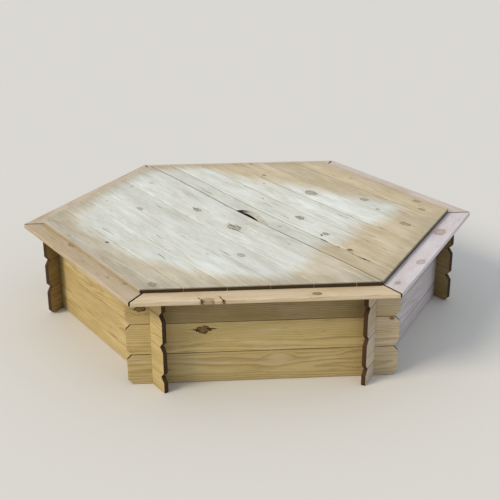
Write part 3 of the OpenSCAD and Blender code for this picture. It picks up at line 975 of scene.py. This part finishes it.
def screw_mesh(length):
    """One screw, its head up at z = 0, threaded over its lower part."""
    core_r = SCREW_R - THREAD_DEEP
    shank = PLAIN_SHANK * length
    profile = [(SCREW_HEAD_R - HEAD_ARRIS, 0), (SCREW_HEAD_R, -HEAD_ARRIS),
               (SCREW_HEAD_R, -2 * HEAD_ARRIS), (SCREW_R, -SCREW_HEAD_H - 2 * HEAD_ARRIS),
               (SCREW_R, -shank)]
    turns = int((length - shank - SCREW_POINT) / THREAD_PITCH)
    for k in range(turns):
        z = -shank - k * THREAD_PITCH
        profile += [(core_r, z - 0.25 * THREAD_PITCH), (core_r, z - 0.7 * THREAD_PITCH),
                    (SCREW_R, z - THREAD_PITCH)]
    profile += [(core_r, -length + SCREW_POINT / 2), (0.3 * MM, -length + 0.3 * MM)]
    key = lathe([(KEY_R, MM), (KEY_R, -KEY_DEEP)], 6)
    return cut(lathe(profile, 20), [key])


def screws(node, places, head_z, length, body, up=1, sag=None):
    """All the screws of a group as one piece of separate solids."""
    one = screw_mesh(length)
    points = points_of(one) * (1, 1, up)
    faces = [tuple(f.vertices) for f in one.polygons]
    vertices = np.vstack([points + (*p, head_z - (sag(p.x, p.y) if sag else 0)) for p in places])
    all_faces = [tuple(v + k * len(points) for v in f) for k in range(len(places)) for f in faces]
    mesh = new_mesh(vertices, all_faces)
    board_object(f"{node}_zinc", mesh, zinc, body, node)


screws("seat_screws", seat_screw_places, SEAT_TOP, SEAT_SCREW_L, "frame")
for half in ("rear", "front"):
    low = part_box(f"lid_{half}_screws")[0]
    screws(f"lid_{half}_screws", lid_screw_places[half], low.z, LID_SCREW_L, f"lid_{half}", -1, lid_sag)


# --- The floor, the light and the camera -----------------------------------------
# A plain pale floor, a wide soft lamp high on the left and an even pale sky.
HALF_FLOOR = 30.0
floor_mesh = bpy.data.meshes.new("floor")
floor_mesh.from_pydata([(-HALF_FLOOR, -HALF_FLOOR, 0), (HALF_FLOOR, -HALF_FLOOR, 0),
                        (HALF_FLOOR, HALF_FLOOR, 0), (-HALF_FLOOR, HALF_FLOOR, 0)], [],
                       [(0, 1, 2, 3)])
floor = bpy.data.objects.new("floor", floor_mesh)
bpy.context.scene.collection.objects.link(floor)
paint = bpy.data.materials.new("pale_floor")
paint.use_nodes = True
coat = paint.node_tree.nodes["Principled BSDF"].inputs
coat["Base Color"].default_value = colour("#D6D5D1")
coat["Roughness"].default_value = 0.9
floor_mesh.materials.append(paint)

# The sky is a little brighter overhead than at the horizon
SKY_LOW, SKY_HIGH = 0.5, 0.82
world = bpy.data.worlds.new("sky")
bpy.context.scene.world = world
world.use_nodes = True
up = add(world.node_tree, "SeparateXYZ", {0: add(world.node_tree, "TexCoord")}, 2)
brighter_above = add(world.node_tree, "MapRange", {0: up, 1: 0.0, 2: 0.9, 3: SKY_LOW, 4: SKY_HIGH})
sky = world.node_tree.nodes["Background"].inputs
sky["Color"].default_value = colour("#F0F5FC")
world.node_tree.links.new(brighter_above, sky["Strength"])

CAMERA_AZIMUTH = math.radians(56.147)
CAMERA_ELEVATION = math.radians(21.735)
CAMERA_ROLL = math.radians(-0.253)
CAMERA_TARGET = Vector((0.28806, -0.19465, 0.361))
CAMERA_DISTANCE = 3.5743
CAMERA_SENSOR, CAMERA_LENS = 36, 69.77
SUN_AZIMUTH = CAMERA_AZIMUTH - math.radians(60)
SUN_HEIGHT = math.radians(37)
SUN_STRENGTH, SUN_ANGLE = 2.1, math.radians(25)


def direction(azimuth, height):
    """The direction from the object to a place at that azimuth, 0 towards -Y."""
    return Vector((math.sin(azimuth) * math.cos(height), -math.cos(azimuth) * math.cos(height),
                   math.sin(height)))


sun = bpy.data.lights.new("sun", "SUN")
sun.energy = SUN_STRENGTH
sun.angle = SUN_ANGLE
sun.color = colour("#FFF1DC")[:3]
sun_object = bpy.data.objects.new("sun", sun)
down = -direction(SUN_AZIMUTH, SUN_HEIGHT)
sun_object.rotation_euler = down.to_track_quat("-Z", "Y").to_euler()
bpy.context.scene.collection.objects.link(sun_object)

camera = bpy.data.objects.new("camera", bpy.data.cameras.new("camera"))
bpy.context.scene.collection.objects.link(camera)
back = direction(CAMERA_AZIMUTH, CAMERA_ELEVATION)
camera.location = CAMERA_TARGET + back * CAMERA_DISTANCE
look = (-back).to_track_quat("-Z", "Y").to_matrix().to_4x4()
camera.rotation_euler = (look @ Matrix.Rotation(CAMERA_ROLL, 4, "Z")).to_euler()
camera.data.sensor_width = CAMERA_SENSOR
camera.data.lens = CAMERA_LENS
bpy.context.scene.camera = camera
bpy.context.scene.view_settings.view_transform = "Standard"
